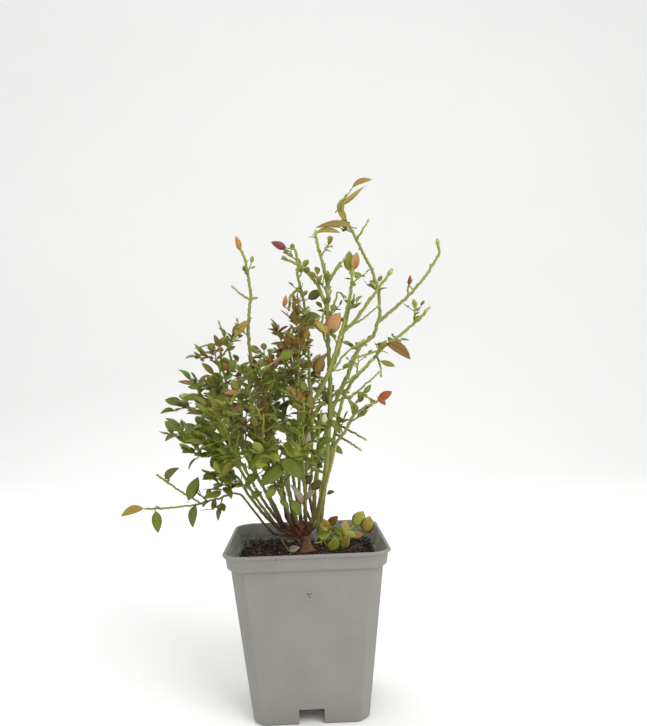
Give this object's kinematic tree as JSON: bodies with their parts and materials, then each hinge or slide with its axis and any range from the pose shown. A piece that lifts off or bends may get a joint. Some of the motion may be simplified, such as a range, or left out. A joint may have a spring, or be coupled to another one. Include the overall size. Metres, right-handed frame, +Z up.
{
  "type": "potted blueberry bush",
  "caption": "Young wild blueberry bush with many thin branching stems, small oval leaves and buds, growing in a square grey nursery pot.",
  "frame": {"origin": "middle of the pot's flat underside, on the surface that it stands on", "axes": "+Z up, +X to the right and -Y towards the viewer of the side that the picture shows"},
  "size_m": [0.1931, 0.1299, 0.3055],
  "materials": {
    "pot_plastic": "satin",
    "peat": "matte",
    "bark": "matte",
    "green_stem": "satin",
    "foliage": "satin"
  },
  "bodies": {
    "root": {"pot": "pot_plastic", "soil": "peat", "trunk": "bark", "left_runner_bough": "green_stem", "left_low_bough": "green_stem", "left_mid_bough": "green_stem", "left_top_bough": "green_stem", "left_inner_bough": "green_stem", "left_tall_bough": "green_stem", "front_left_bough": "green_stem", "front_centre_bough": "green_stem", "front_right_bough": "green_stem", "centre_mid_bough": "green_stem", "centre_top_bough": "green_stem", "centre_shoot_bough": "green_stem", "right_pale_bough": "green_stem", "right_green_bough": "green_stem", "right_long_bough": "green_stem", "right_tip_bough": "green_stem", "right_low_bough": "green_stem", "back_left_bough": "green_stem", "back_top_bough": "green_stem", "back_centre_bough": "green_stem", "back_right_bough": "green_stem", "back_low_bough": "green_stem", "left_runner_foliage": "foliage", "left_low_foliage": "foliage", "left_mid_foliage": "foliage", "left_top_foliage": "foliage", "left_inner_foliage": "foliage", "left_tall_foliage": "foliage", "front_left_foliage": "foliage", "front_centre_foliage": "foliage", "front_right_foliage": "foliage", "centre_mid_foliage": "foliage", "centre_top_foliage": "foliage", "centre_shoot_foliage": "foliage", "right_pale_foliage": "foliage", "right_green_foliage": "foliage", "right_long_foliage": "foliage", "right_tip_foliage": "foliage", "right_low_foliage": "foliage", "back_left_foliage": "foliage", "back_top_foliage": "foliage", "back_centre_foliage": "foliage", "back_right_foliage": "foliage", "back_low_foliage": "foliage", "creeper_foliage": "foliage"}
  },
  "joints": []
}
